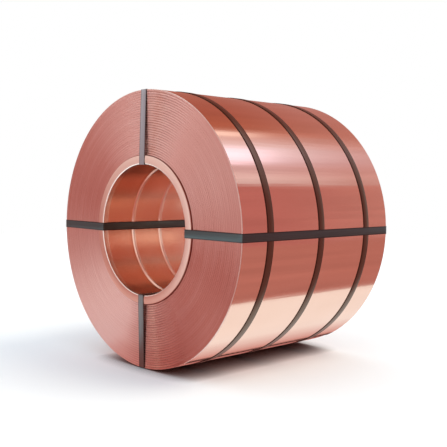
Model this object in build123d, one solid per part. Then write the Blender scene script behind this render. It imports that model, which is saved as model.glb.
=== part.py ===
from build123d import *
import os
from math import acos, atan2, cos, degrees, hypot, radians, sin

# A strapped coil of copper strip, wound on a core sleeve and lying on its side.
# The coil's axis runs along Y, its front end faces -Y and +Z is up. The origin is on
# the floor under the middle of the coil. Lengths are in millimetres and angles in degrees,
# counted about the coil's axis from +X towards +Z.

# Wound strip
bore_diameter = 508.0       # standard bore of a strip coil, which a mandrel goes through
strip_width = 846.0         # also the length of the coil
strip_thickness = 3.0
turns = 84
tail_angle = -62.5          # where the strip's outer end lies
turns_in_ring = 7           # turns between a ridge and a valley on the coil's ends
ring_depth = 1.2            # how far the valleys stand back from the ridges

# Core sleeve, a turned tube with beads round its bore
sleeve_wall = 30.0          # wall between the beads
bead_height = 6.0
bead_crest = 8.0            # width of a bead's level top
bead_flank = 6.0            # width of each of its sloping sides
bead_places = (0.18, 0.35)  # from each end of the coil, as shares of its length
mouth_land = 22.0           # level stretch of bore inside each mouth
mouth_chamfer = 2.0
collar_stand_out = 7.0      # how far the sleeve stands out of each end of the coil
collar_bevel = 5.0          # slope of the collar's outer edge

# Steel strapping
strap_width = 32.0
belly_thickness = 2.0       # the bands round the outside are the heavier ones
eye_thickness = 1.0         # the bands through the bore are a lighter gauge
belly_places = (1 / 6, 1 / 2, 5 / 6)    # belly bands, as shares of the coil's length
eye_angles = {"right": 0.0, "top": 90.0, "left": 180.0, "bottom": 270.0}

# Crimped seals that close the straps
seal_length = 48.0
seal_thickness = 1.0
seal_lip = 2.0              # how far the seal reaches past each edge of its strap
crimp_width = 6.0
crimp_depth = 1.0
belly_seal_angle = 152.0
eye_seal_place = 0.45       # from the coil's rim to the collar, as a share of the way

# Clearances
sleeve_gap = 0.05           # between sleeve and innermost turn
strap_gap = 0.05            # between a strap and what it lies on
overrun = 20.0              # how far a cutting shape reaches past what it cuts

# Worked out from the sizes above
bore_radius = bore_diameter / 2
recess_radius = bore_radius + bead_height
sleeve_radius = recess_radius + sleeve_wall
winding_radius = sleeve_radius + sleeve_gap
coil_radius = winding_radius + turns * strip_thickness
half_width = strip_width / 2
collar_end = half_width + collar_stand_out
cut_length = 2 * (collar_end + overrun)
belly_lift = strap_gap + belly_thickness
eye_lift = strap_gap + eye_thickness
tail_side = Vector(cos(radians(tail_angle)), sin(radians(tail_angle)))

# The coil's outline is a spiral of two half circles, whose centres lie a quarter of the
# strip's thickness to either side of the axis, so that it drops by one strip at the tail.
outer_centre = tail_side * (strip_thickness / 4)
inner_centre = tail_side * (-strip_thickness / 4)
outer_half_radius = coil_radius - strip_thickness / 4
inner_half_radius = coil_radius - strip_thickness * 3 / 4

# A tight band leaves the tail's edge along the tangent to the turn below it.
bridge_angle = degrees(acos(inner_half_radius / (coil_radius + strip_thickness / 4)))


def reach(angle):
    """Distance from the axis to a flat strap that lies against the coil at an angle."""
    turned = (angle - tail_angle) % 360
    lean = cos(radians(turned))
    if turned <= 180:
        round_side = outer_half_radius + strip_thickness / 4 * lean
    else:
        round_side = inner_half_radius - strip_thickness / 4 * lean
    return max(round_side, coil_radius * lean)


# The eye bands at 3 and 9 o'clock set the width of the footprint, whose middle is the origin.
axis_x = (reach(eye_angles["left"]) - reach(eye_angles["right"])) / 2
axis_z = reach(eye_angles["bottom"]) + belly_lift + eye_lift


def along_axis(outline, length):
    """Extrudes a face drawn across the axis to both sides of the coil's middle."""
    return extrude(Plane.XZ * outline, amount=length / 2, both=True)


def turned_to(angle, shape):
    """Turns a shape that was built at the top of the coil to an angle about the axis."""
    return Rot(0, 90 - angle, 0) * shape


def spiral_outline():
    """Face inside the outermost turn, with the step at the strip's tail."""
    first = CenterArc(outer_centre, outer_half_radius, tail_angle, 180)
    second = CenterArc(inner_centre, inner_half_radius, tail_angle + 180, 180)
    return make_face([first, second, Line(second @ 1, first @ 0)])


def band_outline():
    """Face inside a tight band round the coil, which bridges the step at the tail."""
    first = CenterArc(outer_centre, outer_half_radius, tail_angle, 180)
    second = CenterArc(inner_centre, inner_half_radius, tail_angle + 180, 180 - bridge_angle)
    return make_face([first, second, Line(second @ 1, first @ 0)])


def winding_line():
    """Points down one end of the coil, from the outermost ring's foot to the bore.

    Ridges lie level with the rim, and the valleys between them are ring_depth lower.
    """
    ring_width = turns_in_ring * strip_thickness
    rings = turns // turns_in_ring
    radii = [coil_radius - ring * ring_width for ring in range(1, rings)] + [winding_radius]
    depths = [ring_depth * (ring % 2) for ring in range(len(radii))]
    return [(radius, half_width - depth) for radius, depth in zip(radii, depths)]


def strip_coil():
    """The wound strip: its outline is the spiral, and rings of turns show on its ends."""
    back = winding_line()
    front = [(radius, -y) for radius, y in reversed(back)]
    inner_turns = revolve(make_face(Polyline(back + front, close=True)), Axis.Y)
    outer_turns = along_axis(spiral_outline() - Circle(back[0][0]), strip_width)
    return inner_turns + outer_turns


def bore_line():
    """Points of the sleeve's bore from the front mouth to the back one."""
    beads = sorted(side * (0.5 - place) * strip_width for place in bead_places for side in (-1, 1))
    line = [(bore_radius + mouth_chamfer, -collar_end), (bore_radius, mouth_chamfer - collar_end)]
    line += [(bore_radius, mouth_land - collar_end), (recess_radius, mouth_land + bead_flank - collar_end)]
    for middle in beads:
        foot = bead_crest / 2 + bead_flank
        line += [(recess_radius, middle - foot), (bore_radius, middle - bead_crest / 2)]
        line += [(bore_radius, middle + bead_crest / 2), (recess_radius, middle + foot)]
    line += [(recess_radius, collar_end - mouth_land - bead_flank), (bore_radius, collar_end - mouth_land)]
    return line + [(bore_radius, collar_end - mouth_chamfer), (bore_radius + mouth_chamfer, collar_end)]


def core_sleeve():
    """The turned sleeve, whose ends stand out of the coil as collars."""
    back = [(sleeve_radius - collar_bevel, collar_end), (sleeve_radius, collar_end - collar_bevel)]
    front = [(radius, -y) for radius, y in reversed(back)]
    return revolve(make_face(Polyline(bore_line() + back + front, close=True)), Axis.Y)


def band_ring(inner_lift, outer_lift, width):
    """Ring round the coil between two heights above the tight outline."""
    band = offset(band_outline(), amount=outer_lift) - offset(band_outline(), amount=inner_lift)
    return along_axis(band, width)


def belly_band():
    """One strap round the coil's outside, at the middle of its length."""
    return band_ring(strap_gap, belly_lift, strap_width)


def crimped(seal):
    """Notches both lips of a seal that lies along X with its strap's middle at Y = 0."""
    edge = strap_width / 2 + seal_lip
    for along in (-seal_length / 4, seal_length / 4):
        for side in (-1, 1):
            notch = Box(crimp_width, 2 * crimp_depth, 2 * overrun)
            seal -= Pos(along, side * edge, 0) * notch
    return seal


def belly_seal():
    """Seal of a belly band: a plate over the strap, with lips down both its edges."""
    shell = band_ring(strap_gap, belly_lift + strap_gap + seal_thickness, strap_width + 2 * seal_lip)
    strap = along_axis(offset(band_outline(), amount=belly_lift + strap_gap), strap_width + 2 * strap_gap)
    here = Rot(0, 90 - belly_seal_angle, 0) * Pos(0, 0, reach(belly_seal_angle))
    block = here * Box(seal_length, 2 * strap_width, overrun)
    return here * crimped(here.inverse() * ((shell - strap) & block))


def eye_section(angle):
    """Section along the axis of what an eye band is pulled round: coil, belly bands and collars."""
    rim = reach(angle)
    last_band = (0.5 - min(belly_places)) * strip_width + strap_width / 2
    back = [(last_band, rim + belly_lift), (half_width, rim)]
    back += [(collar_end, sleeve_radius - collar_bevel), (collar_end, bore_radius - overrun)]
    front = [(-y, z) for y, z in reversed(back)]
    return make_face(Polyline(back + front, close=True))


def eye_band(angle):
    """One strap through the bore and round the coil's wall, flat but for its leg in the bore."""
    section = eye_section(angle)
    loop = Plane.YZ * (offset(section, amount=eye_lift) - offset(section, amount=strap_gap))
    leg_radius = bore_radius - strap_gap
    loop = extrude(loop, amount=strap_width / 2, both=True)
    loop -= along_axis(Circle(leg_radius - eye_thickness), cut_length)
    leg = along_axis(Circle(leg_radius) - Circle(leg_radius - eye_thickness), 2 * (collar_end + eye_lift))
    leg &= Pos(0, 0, leg_radius) * Box(strap_width, cut_length, leg_radius)
    return turned_to(angle, loop + leg)


def eye_seal(angle):
    """Seal of an eye band, on its run across the back of the coil."""
    rise = reach(angle) - (sleeve_radius - collar_bevel)
    lean = atan2(collar_stand_out, rise)
    plate_height = eye_lift + seal_thickness
    plate = Box(seal_length, strap_width + 2 * seal_lip, plate_height)
    plate = Pos(0, 0, strap_gap + plate_height / 2) * plate
    strap = Box(2 * seal_length, strap_width + 2 * strap_gap, 2 * (eye_lift + strap_gap))
    seal = crimped(plate - strap)
    # The run starts at the rim and leans out to the collar, and the seal lies on it.
    run = Plane(
        origin=(0, half_width, reach(angle)),
        x_dir=(0, sin(lean), -cos(lean)),
        z_dir=(0, cos(lean), sin(lean)),
    )
    along = eye_seal_place * hypot(rise, collar_stand_out)
    return turned_to(angle, run * Pos(along, 0, 0) * seal)


pieces = {"strip_coil": strip_coil(), "core_sleeve": core_sleeve()}
for name, place in zip(("front", "middle", "back"), belly_places):
    here = Pos(0, (place - 0.5) * strip_width, 0)
    pieces["belly_band_" + name] = here * belly_band()
    pieces["belly_seal_" + name] = here * belly_seal()
for name, angle in eye_angles.items():
    pieces["eye_band_" + name] = eye_band(angle)
    pieces["eye_seal_" + name] = eye_seal(angle)

os.makedirs("parts", exist_ok=True)
for name, piece in pieces.items():
    export_step(Pos(axis_x, 0, axis_z) * piece, "parts/" + name + ".step")
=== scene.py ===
# %% [markdown]
# # A strapped coil of copper strip
# This notebook dresses a coil of rolled copper, as a mill sends it out: one long strip, wound
# 84 times round a sleeve and held by steel straps. The measured shapes come in first, as a
# frame that is never moved. Then each piece gets a finer surface, a finish and a studio.

# %% load the frame
import bmesh
import bpy
import numpy as np
from mathutils import Euler, Matrix, Vector


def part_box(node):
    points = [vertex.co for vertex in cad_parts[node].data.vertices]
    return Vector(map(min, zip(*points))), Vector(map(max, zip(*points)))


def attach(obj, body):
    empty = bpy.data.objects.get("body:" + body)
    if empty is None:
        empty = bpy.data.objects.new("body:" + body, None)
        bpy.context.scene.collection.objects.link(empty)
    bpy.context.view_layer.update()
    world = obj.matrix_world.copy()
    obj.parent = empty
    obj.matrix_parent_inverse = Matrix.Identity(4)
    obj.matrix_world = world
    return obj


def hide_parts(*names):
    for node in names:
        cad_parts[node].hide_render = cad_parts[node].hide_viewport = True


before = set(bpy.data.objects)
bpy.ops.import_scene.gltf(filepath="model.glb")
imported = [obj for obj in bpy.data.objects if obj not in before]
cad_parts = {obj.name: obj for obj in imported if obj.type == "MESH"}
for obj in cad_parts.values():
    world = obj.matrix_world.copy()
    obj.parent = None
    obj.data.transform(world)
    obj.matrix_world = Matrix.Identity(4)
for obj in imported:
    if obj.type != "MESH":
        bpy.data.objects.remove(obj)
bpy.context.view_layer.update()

# %% [markdown]
# ## Sizes
# Every piece is worked out from a few real sizes in metres. They are those of the coil's
# drawing: a 508 mm bore, a strip 846 mm wide and 3 mm thick, and straps 32 mm wide. The
# axis runs along Y, its height is read from the sleeve's box, and angles about it are counted
# from +X towards +Z.

# %% sizes of the real coil
STRIP_THICKNESS = 0.003
STRIP_WIDTH = 0.846
TURNS = 84
TAIL_ANGLE = np.radians(-62.5)  # where the strip's outer end lies
BORE_RADIUS = 0.254
BEAD_HEIGHT = 0.006
SLEEVE_WALL = 0.030
SLEEVE_GAP = 0.00005
COLLAR_STAND_OUT = 0.007

HALF_WIDTH = STRIP_WIDTH / 2
RECESS_RADIUS = BORE_RADIUS + BEAD_HEIGHT
SLEEVE_RADIUS = RECESS_RADIUS + SLEEVE_WALL
WINDING_RADIUS = SLEEVE_RADIUS + SLEEVE_GAP
COIL_RADIUS = WINDING_RADIUS + TURNS * STRIP_THICKNESS
COLLAR_END = HALF_WIDTH + COLLAR_STAND_OUT

sleeve_low, sleeve_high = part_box("core_sleeve")
AXIS_X = (sleeve_low.x + sleeve_high.x) / 2
AXIS_Z = (sleeve_low.z + sleeve_high.z) / 2
print("coil radius", COIL_RADIUS, "axis at", AXIS_X, AXIS_Z)

# %% [markdown]
# ## Camera
# A photograph fixes where its camera stood. Matching the two end circles, the bore and the
# straps gives a long lens 3.3 m away, just above the coil's axis. A camera that isn't turned
# looks straight down, so the first angle tilts it up until it is nearly level, the second
# rolls it a little, and the third swings it round to face the coil.

# %% camera
LENS_MM = 62.0
SENSOR_MM = 36.0
CAMERA_PLACE = (2.3568, -2.2695, 0.7330)
CAMERA_TURN = (86.8901, -0.7355, 45.9868)

camera = bpy.data.objects.new("camera", bpy.data.cameras.new("camera"))
bpy.context.scene.collection.objects.link(camera)
camera.data.lens = LENS_MM
camera.data.sensor_width = SENSOR_MM
camera.matrix_world = Matrix.LocRotScale(Vector(CAMERA_PLACE), Euler(np.radians(CAMERA_TURN)), None)
bpy.context.scene.camera = camera
print("camera at", CAMERA_PLACE, "turned by", CAMERA_TURN)

# %% [markdown]
# ## Helpers for meshes
# A surface is an array of points with two indices, one along each of its parameters. Its
# faces join neighbours, and a surface that closes on itself wraps its last row to its first.

# %% mesh helpers
SAME_PLACE = 1e-7


def grid_faces(rows, columns, close_rows=False, close_columns=False):
    """Quads of a grid of points: each joins a point to its right, diagonal and upper neighbour."""
    row = np.arange(rows if close_rows else rows - 1)[:, None]
    column = np.arange(columns if close_columns else columns - 1)[None, :]
    next_row = (row + 1) % rows
    next_column = (column + 1) % columns
    corners = [row * columns + column, row * columns + next_column,
               next_row * columns + next_column, next_row * columns + column]
    return np.stack(corners, -1).reshape(-1, 4)


def signed_volume(mesh):
    """Sum over triangles of corner dot cross product, over six: positive where faces point out."""
    mesh.calc_loop_triangles()
    corner = np.zeros(len(mesh.loop_triangles) * 3, int)
    mesh.loop_triangles.foreach_get("vertices", corner)
    position = np.zeros(len(mesh.vertices) * 3)
    mesh.vertices.foreach_get("co", position)
    a, b, c = position.reshape(-1, 3)[corner.reshape(-1, 3)].transpose(1, 0, 2)
    return float((a * np.cross(b, c)).sum() / 6)


def join_touching(mesh):
    """Makes one point of those in the same place, where a surface narrows to nothing."""
    joined = bmesh.new()
    joined.from_mesh(mesh)
    bmesh.ops.remove_doubles(joined, verts=joined.verts, dist=SAME_PLACE)
    joined.to_mesh(mesh)
    joined.free()


def make_piece(name, points, faces, node, sharp_degrees=30):
    """Makes a piece of points and faces, which rides on the frame and stands for a CAD node."""
    mesh = bpy.data.meshes.new(name)
    mesh.from_pydata(points.reshape(-1, 3).tolist(), [], faces)
    join_touching(mesh)
    if signed_volume(mesh) < 0:
        mesh.flip_normals()
    mesh.polygons.foreach_set("use_smooth", np.ones(len(mesh.polygons), bool))
    mesh.set_sharp_from_angle(angle=np.radians(sharp_degrees))
    piece = bpy.data.objects.new(name, mesh)
    bpy.context.scene.collection.objects.link(piece)
    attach(piece, "root")
    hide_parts(node)
    mesh.calc_loop_triangles()
    print(name, "triangles:", len(mesh.loop_triangles))
    return piece


def add_uv(piece, name, first, second):
    """UV map of two values at each point, given as arrays that fill the piece's grid together."""
    pair = np.stack(np.broadcast_arrays(first, second), -1).reshape(-1, 2)
    corner = np.zeros(len(piece.data.loops), int)
    piece.data.loops.foreach_get("vertex_index", corner)
    layer = piece.data.uv_layers.new(name=name)
    layer.data.foreach_set("uv", pair[corner].astype(float).ravel())


print("a grid of 3 by 4 points has", len(grid_faces(3, 4)), "faces")

# %% places about the axis
def round_axis(radius, angle, y):
    """Points about the coil's axis: x and z from radius and angle, y as it is."""
    radius, angle, y = np.broadcast_arrays(radius, angle, y)
    return np.stack([AXIS_X + radius * np.cos(angle), y, AXIS_Z + radius * np.sin(angle)], -1)


def flat_at(angle, across, y, height):
    """Points of a flat strap: height along the direction at an angle, and across square to it."""
    x = AXIS_X + height * np.cos(angle) + across * np.sin(angle)
    z = AXIS_Z + height * np.sin(angle) - across * np.cos(angle)
    return np.stack([x, y, z], -1)


print("top of the coil at", round_axis(COIL_RADIUS, np.pi / 2, 0.0))

# %% [markdown]
# ## The wound strip
# On the real coil every turn lies on the one below it, so the strip runs inward as a spiral,
# and its edges make the rings on the ends. A spiral of half circles, whose centres lie a
# quarter of the strip to each side of the axis, drops by exactly one strip a turn. Here an
# end is one ribbon carried along that spiral, with a shallow groove between turns.

# %% spiral of the strip
STEPS_PER_TURN = 144

station = np.arange((TURNS + 1) * STEPS_PER_TURN + 1)
turn = station // STEPS_PER_TURN
way_round = station % STEPS_PER_TURN * 2 * np.pi / STEPS_PER_TURN
strip_angle = TAIL_ANGLE + way_round


def spiral_drop(way):
    """Drop below the first turn's rim: a quarter strip times one minus cosine, then its mirror."""
    first = STRIP_THICKNESS / 4 * (1 - np.cos(way))
    second = STRIP_THICKNESS * 3 / 4 + STRIP_THICKNESS / 4 * np.cos(way)
    return np.where(way <= np.pi, first, second)


outer_radius = COIL_RADIUS - turn * STRIP_THICKNESS - spiral_drop(way_round)
print("stations:", station.size, "last radius:", outer_radius[TURNS * STEPS_PER_TURN])

# %% [markdown]
# ## How the turns stand
# A winding machine leaves the turns a little uneven, most of them near the end's plane and a
# few well back. Their edges also lean, one way and the other, and a ring is the stretch in
# which the lean goes through a whole wave. The real rings are the turns themselves, 3 mm
# apart, which is finer than a pixel, so the rings are drawn coarser, three turns apart. They
# lean most in two sectors, above and below the bore.

# %% depths of the turns
KNOTS_PER_TURN = 5
UNEVEN_DEPTH = 0.0006
UNEVEN_SPREAD = (0.8, 2.2)  # the two shape numbers of a beta distribution, which favour its low end
TURNS_IN_RING = 3
RING_SECTOR = 80.0          # degrees from +X to the middle of a sector, both up and down
RING_SECTOR_HALF = 24.0
EDGE_TILT = 0.0004
TILT_OUTSIDE = 0.5          # shares of the tilt that the edges have outside the sectors,
TILT_MORE_INSIDE = 2.0      # and have besides in the middle of one
random = np.random.default_rng(12)


def turn_depths():
    """Depth and tilt at each station: drawn at knots, plus a lean times the sine of its ring."""
    knots = np.linspace(0, station[-1], KNOTS_PER_TURN * TURNS)
    drawn = np.interp(station, knots, random.beta(*UNEVEN_SPREAD, knots.size)) * UNEVEN_DEPTH
    from_side = np.abs((np.degrees(strip_angle) + 180) % 360 - 180)
    sector = np.clip(1 - np.abs(from_side - RING_SECTOR) / RING_SECTOR_HALF, 0, 1)
    lean = EDGE_TILT * (TILT_OUTSIDE + TILT_MORE_INSIDE * sector)
    tilt = np.sin(2 * np.pi * turn / TURNS_IN_RING) * lean
    # The outermost turn stands level with the strip's width.
    return np.where(turn == 0, 0, drawn + lean), np.where(turn == 0, 0, tilt)


print("rings are", TURNS_IN_RING * STRIP_THICKNESS, "m apart")

# %% ribbon of one end
GROOVE_HALF = 0.00035
GROOVE_DEPTH = 0.0006
RIM_BEVEL = 0.0012
RUN_OUT_DEPTH = 0.0011      # where the innermost turn has narrowed to nothing
POINTS_ACROSS = 3
NEXT_TURN = STEPS_PER_TURN * POINTS_ACROSS


def end_points(side):
    """Ribbon of one end: at each station a groove and two crests, blended to the run-out."""
    depth, tilt = turn_depths()
    groove = np.maximum(outer_radius, WINDING_RADIUS)
    next_groove = np.maximum(outer_radius - STRIP_THICKNESS, WINDING_RADIUS)
    fullness = (groove - next_groove) / STRIP_THICKNESS
    bevel = np.where(turn == 0, RIM_BEVEL, GROOVE_HALF)
    radii = np.stack([groove, groove - bevel * fullness, next_groove + GROOVE_HALF * fullness], 1)
    full = np.stack([depth + GROOVE_DEPTH, depth + tilt, depth - tilt], 1)
    depths = RUN_OUT_DEPTH + (full - RUN_OUT_DEPTH) * fullness[:, None]
    depths[turn == 0, 0] = RIM_BEVEL
    return round_axis(radii, strip_angle[:, None], side * (HALF_WIDTH - depths))


def ribbon_faces(first_index, side):
    """Quads from groove to crest to crest, and on to the groove one turn further in."""
    start = np.arange(TURNS * STEPS_PER_TURN) * POINTS_ACROSS + first_index
    line = np.stack([start, start + 1, start + 2, start + NEXT_TURN], 1)
    ahead = line + POINTS_ACROSS
    quads = np.stack([line[:, :-1], line[:, 1:], ahead[:, 1:], ahead[:, :-1]], -1).reshape(-1, 4)
    return quads if side < 0 else quads[:, ::-1]


front = end_points(-1)
back = end_points(1)
print("points on an end:", front.shape)

# %% the whole strip
behind = len(front) * POINTS_ACROSS
rim = np.arange(STEPS_PER_TURN) * POINTS_ACROSS
hub = rim + TURNS * NEXT_TURN
rim_ahead = rim + POINTS_ACROSS
hub_ahead = hub + POINTS_ACROSS
barrel = np.stack([rim, rim_ahead, rim_ahead + behind, rim + behind], 1)
inside = np.stack([hub, hub + behind, hub_ahead + behind, hub_ahead], 1)
cut_end = np.array([(0, behind, behind + 1, 1), (1, behind + 1, behind + 2, 2),
                    (2, behind + 2, behind + NEXT_TURN, NEXT_TURN)])
strip_points = np.concatenate([front.reshape(-1, 3), back.reshape(-1, 3)])
strip_faces = np.concatenate([ribbon_faces(0, -1), ribbon_faces(behind, 1), barrel, inside, cut_end])
copper_coil = make_piece("copper_coil", strip_points, strip_faces.tolist(),
                         "strip_coil")

# %% [markdown]
# ## The core sleeve
# The strip is wound on a sleeve, a turned tube with raised beads round its bore that stop it
# from buckling. A turned part is a profile carried round the axis, so the beads are a
# function of the place along the bore, and the collar is a low crown between two arcs.

# %% bore of the sleeve
BEAD_PLACES = np.array([0.18, 0.35])    # from each end, as shares of the coil's length
BEAD_HALF_CREST = 0.004
BEAD_FLANK = 0.006
BEAD_MARGIN = 0.001
MOUTH_LAND = 0.022
MOUTH_ROUND = 0.003
COLLAR_CROWN = 0.0014
BORE_STEPS, BEAD_STEPS, FLANK_STEPS = 21, 15, 5
bead_middles = np.concatenate([0.5 - BEAD_PLACES, BEAD_PLACES - 0.5]) * STRIP_WIDTH
bead_reach = BEAD_HALF_CREST + BEAD_FLANK + BEAD_MARGIN


def bead_share(distance, half_crest):
    """Height of a bead as a share: one on its crest, falling as a half cosine over its flank."""
    fall = np.clip((distance - half_crest) / BEAD_FLANK, 0, 1)
    return (1 + np.cos(np.pi * fall)) / 2


mouth_y = COLLAR_END - COLLAR_CROWN - MOUTH_ROUND
land_end = COLLAR_END - MOUTH_LAND - np.linspace(0, BEAD_FLANK, FLANK_STEPS)
bore_y = [np.linspace(-mouth_y, mouth_y, BORE_STEPS), land_end, -land_end]
bore_y += [middle + np.linspace(-bead_reach, bead_reach, BEAD_STEPS) for middle in bead_middles]
bore_y = np.unique(np.round(np.concatenate(bore_y), 6))
rise = bead_share(np.abs(bore_y - bead_middles[:, None]), BEAD_HALF_CREST).max(0)
rise = np.maximum(rise, bead_share(COLLAR_END - np.abs(bore_y), MOUTH_LAND))
bore = np.stack([bore_y, RECESS_RADIUS - rise * BEAD_HEIGHT], 1)
print("points along the bore:", len(bore))

# %% collar of the sleeve
COLLAR_ROUND = 0.005
MOUTH_ARC = (-75, -30)
SHOULDER_ARC = (45, 90)
CROWN_SHARE = 0.82          # of the wall, between the two arcs
ARC_STEPS, CROWN_STEPS = 6, 13


def arc(centre, radius, degrees):
    """Arc in the plane of y and radius: its centre plus a circle at even angles."""
    angle = np.radians(np.linspace(*degrees, ARC_STEPS))
    return np.array(centre) + radius * np.stack([np.cos(angle), np.sin(angle)], 1)


mouth = arc((mouth_y, BORE_RADIUS + MOUTH_ROUND), MOUTH_ROUND, MOUTH_ARC)
from_crest = np.linspace(-CROWN_SHARE, CROWN_SHARE, CROWN_STEPS)
crown_radius = (BORE_RADIUS + SLEEVE_RADIUS) / 2 + from_crest * (SLEEVE_RADIUS - BORE_RADIUS) / 2
crown = np.stack([COLLAR_END - COLLAR_CROWN * from_crest ** 2, crown_radius], 1)
shoulder_centre = (COLLAR_END - COLLAR_CROWN - COLLAR_ROUND, SLEEVE_RADIUS - COLLAR_ROUND)
shoulder = arc(shoulder_centre, COLLAR_ROUND, SHOULDER_ARC)
collar = np.concatenate([mouth, crown, shoulder])
sleeve_profile = np.concatenate([bore, collar, collar[::-1] * (-1, 1)])
print("sleeve profile points:", len(sleeve_profile))

# %% turned sleeve
SLEEVE_STEPS = 192
sleeve_angle = np.arange(SLEEVE_STEPS)[:, None] * 2 * np.pi / SLEEVE_STEPS
sleeve_points = round_axis(sleeve_profile[None, :, 1], sleeve_angle, sleeve_profile[None, :, 0])
sleeve_faces = grid_faces(SLEEVE_STEPS, len(sleeve_profile), True, True)
sleeve = make_piece("turned_sleeve", sleeve_points, sleeve_faces.tolist(),
                    "core_sleeve")

# %% [markdown]
# ## Steel straps
# A strap is a flat steel ribbon with rounded edges, pulled tight and closed by a seal. Each
# one is the same small section carried along a path, so all it takes is the path and the
# direction that faces away from the coil at each place along it.

# %% section of a strap, and carrying it along a path
STRAP_WIDTH = 0.032
STRAP_GAP = 0.00005
CORNER_STEPS = 4
SHEET_SHARP = 50            # degrees between faces past which an edge of bent sheet looks sharp


def rounded_section(width, bottom, top, corner):
    """Rectangle with quarter circles for corners: four centres, each plus its own quarter."""
    start = np.array([0, 90, 180, 270])[:, None]
    angle = np.radians(start + np.linspace(0, 90, CORNER_STEPS))
    side = np.sign(np.cos(np.radians(start + 45)))
    upward = np.sign(np.sin(np.radians(start + 45)))
    across = side * (width / 2 - corner) + corner * np.cos(angle)
    height = (bottom + top) / 2 + upward * ((top - bottom) / 2 - corner) + corner * np.sin(angle)
    return np.stack([across, height], -1).reshape(-1, 2)


def sweep_faces(stations, points, closed):
    """Quads along a path, and a cap over each end where the path doesn't close."""
    faces = grid_faces(stations, points, closed, True).tolist()
    if not closed:
        faces.append(list(range(points))[::-1])
        faces.append(list(range((stations - 1) * points, stations * points)))
    return faces


print("strap", STRAP_WIDTH, "m wide")

# %% [markdown]
# ## Belly bands
# A tight band follows the outermost turn, and where the strip ends it leaves the edge along
# the tangent to the turn below, so there is a small empty wedge beside the tail.

# %% path of a belly band
BELLY_PLACES = {"front": 1 / 6, "middle": 1 / 2, "back": 5 / 6}
BELLY_THICKNESS = 0.002
INNER_HALF_RADIUS = COIL_RADIUS - STRIP_THICKNESS * 3 / 4
BRIDGE_ANGLE = np.arccos(INNER_HALF_RADIUS / (COIL_RADIUS + STRIP_THICKNESS / 4))


def band_radius(way):
    """The spiral's radius, and near the tail the straight tangent: its distance over a cosine."""
    way = np.mod(way, 2 * np.pi)
    line_distance = INNER_HALF_RADIUS - STRIP_THICKNESS / 4 * np.cos(BRIDGE_ANGLE)
    from_normal = way - (2 * np.pi - BRIDGE_ANGLE)
    tangent = line_distance / np.cos(np.clip(from_normal, 0, BRIDGE_ANGLE))
    return np.where(from_normal > 0, tangent, COIL_RADIUS - spiral_drop(way))


def along_band(way, across, height, middle_y):
    """Places on a section carried round the band's path: its height adds to the radius."""
    radius = band_radius(way)[:, None] + height
    return round_axis(radius, (TAIL_ANGLE + way)[:, None], across + middle_y)


print("the tail is bridged over", np.degrees(BRIDGE_ANGLE), "degrees")

# %% belly bands
BELLY_EDGE_ROUND = 0.0006
ROUND_STEPS, BRIDGE_STEPS = 240, 6
belly_section = rounded_section(STRAP_WIDTH, STRAP_GAP, STRAP_GAP + BELLY_THICKNESS, BELLY_EDGE_ROUND)
bridge_start = 2 * np.pi - BRIDGE_ANGLE
belly_way = np.concatenate([np.linspace(0, bridge_start, ROUND_STEPS, endpoint=False),
                            np.linspace(bridge_start, 2 * np.pi, BRIDGE_STEPS, endpoint=False)])
belly_faces = sweep_faces(len(belly_way), len(belly_section), True)
belly_bands = []
for name, place in BELLY_PLACES.items():
    middle_y = (place - 0.5) * STRIP_WIDTH
    points = along_band(belly_way, belly_section[:, 0], belly_section[:, 1], middle_y)
    band = make_piece("belly_strap_" + name, points, belly_faces,
                      "belly_band_" + name, SHEET_SHARP)
    add_uv(band, "lengths", belly_way[:, None] * COIL_RADIUS, belly_section[:, 0])
    belly_bands.append(band)

# %% [markdown]
# ## Eye bands
# An eye band goes through the bore and back over the outside. Pulled tight, it takes the
# shortest way round: straight from corner to corner over the belly bands, down each end to
# the proud collar, and through the bore, where it lies on the round wall and takes its curve.

# %% path of an eye band
EYE_ANGLES = {"right": 0.0, "top": 90.0, "left": 180.0, "bottom": 270.0}
EYE_THICKNESS = 0.001
COLLAR_EDGE = SLEEVE_RADIUS - COLLAR_ROUND
BEND_STEPS, RUN_STEPS = 5, 12
last_band = (0.5 - BELLY_PLACES["front"]) * STRIP_WIDTH + STRAP_WIDTH / 2


def rim_height(angle):
    """Height of the strip's rim under an eye band: the spiral's radius there."""
    return float(COIL_RADIUS - spiral_drop(np.mod(angle - TAIL_ANGLE, 2 * np.pi)))


def eye_path(angle):
    """Corners and runs of the tight loop in y and height, with the outward angle at each place."""
    rim_there = rim_height(angle)
    over_band = rim_there + STRAP_GAP + BELLY_THICKNESS
    half_loop = np.array([(last_band, over_band), (HALF_WIDTH, rim_there), (COLLAR_END, COLLAR_EDGE),
                          (COLLAR_END, BORE_RADIUS)])
    corners = np.concatenate([half_loop, half_loop[::-1] * (-1, 1)])
    runs = np.roll(corners, -1, 0) - corners
    facing = np.degrees(np.arctan2(runs[:, 0], -runs[:, 1]))
    facing_before = np.roll(facing, 1)
    bend = (facing - facing_before + 180) % 360 - 180
    # At a corner the section stays and turns, and along a run it moves and doesn't turn.
    along_run = np.linspace(0, 1, RUN_STEPS + 1)[1:-1]
    moved = np.concatenate([np.zeros(BEND_STEPS), along_run])
    bent = np.concatenate([np.linspace(0, 1, BEND_STEPS), np.ones(along_run.size)])
    base = corners[:, None] + moved[:, None] * runs[:, None]
    outward_angle = facing_before[:, None] + bend[:, None] * bent
    return base.reshape(-1, 2), np.radians(outward_angle.ravel())


def eye_points(angle, across, height):
    """Section carried along the loop; on the bore's wall it drops as a circle of that radius does."""
    base, outward_angle = eye_path(angle)
    in_bore = np.isclose(base[:, 1], BORE_RADIUS)[:, None]
    sag = BORE_RADIUS - np.sqrt(BORE_RADIUS ** 2 - across ** 2)
    y = base[:, :1] + np.cos(outward_angle)[:, None] * height
    lifted = base[:, 1:] + np.sin(outward_angle)[:, None] * height - in_bore * sag
    return flat_at(angle, across, y, lifted), base


print("rim under the top band:", rim_height(np.pi / 2))

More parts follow.
